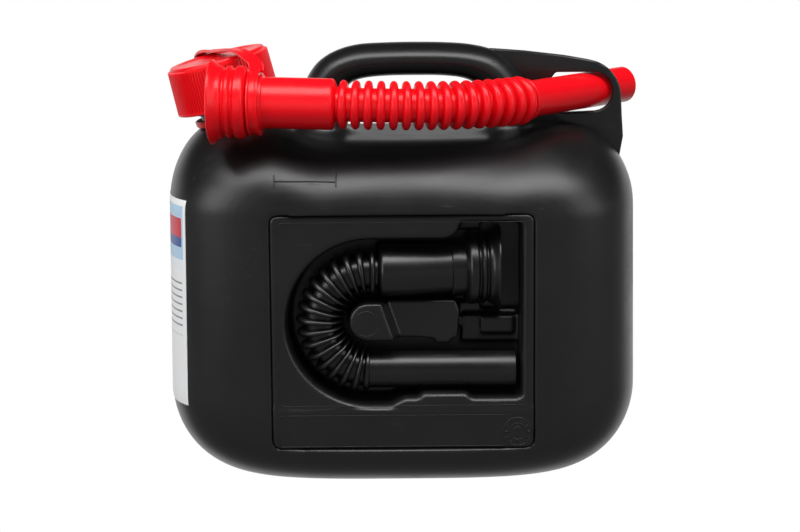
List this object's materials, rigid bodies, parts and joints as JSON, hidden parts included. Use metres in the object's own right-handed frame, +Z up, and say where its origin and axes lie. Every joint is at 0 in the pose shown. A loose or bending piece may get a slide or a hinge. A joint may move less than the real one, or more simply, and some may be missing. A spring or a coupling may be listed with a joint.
{
  "type": "fuel canister",
  "caption": "Blow-moulded fuel canister with a carrying handle, a tethered screw cap, a clipped red spout and a spare spout stored in a side recess.",
  "frame": {"origin": "centre of the base, on the floor", "axes": "+Z up, +X along the length toward the tail of the clipped spout, -Y toward the side with the recess"},
  "size_m": [0.2684, 0.1508, 0.2448],
  "materials": {
    "black_hdpe": "satin",
    "black_spout_pe": "satin",
    "red_pe": "satin",
    "seal_foam": "matte",
    "label_film": "satin"
  },
  "bodies": {
    "canister": {"canister_body": "black_hdpe", "red_spout": "red_pe", "black_spout": "black_spout_pe", "tether_strap": "red_pe", "side_label": "label_film"},
    "seal": {"cap_seal": "seal_foam"},
    "threaded_cap": {"inner_cap": "red_pe"},
    "drive_cap": {"outer_cap": "red_pe"}
  },
  "joints": [
    {"name": "seal_lift", "type": "slide", "parent": "canister", "child": "seal", "axis": [-0.2419, 0, 0.9703], "range_m": [0, 0.003]},
    {"name": "cap_turn", "type": "hinge", "parent": "seal", "child": "threaded_cap", "pos_m": [-0.0962, 0, 0.2015], "axis": [-0.2419, 0, 0.9703], "range_deg": [0, 270.5]},
    {"name": "cap_push", "type": "slide", "parent": "threaded_cap", "child": "drive_cap", "axis": [-0.2419, 0, 0.9703], "range_m": [-0.002, 0], "stiffness_N_per_m": 2500, "springref_m": 0.0005}
  ],
  "couplings": [
    {"joint": "cap_turn", "follows": "seal_lift", "rad_per_m": 1570.8}
  ]
}
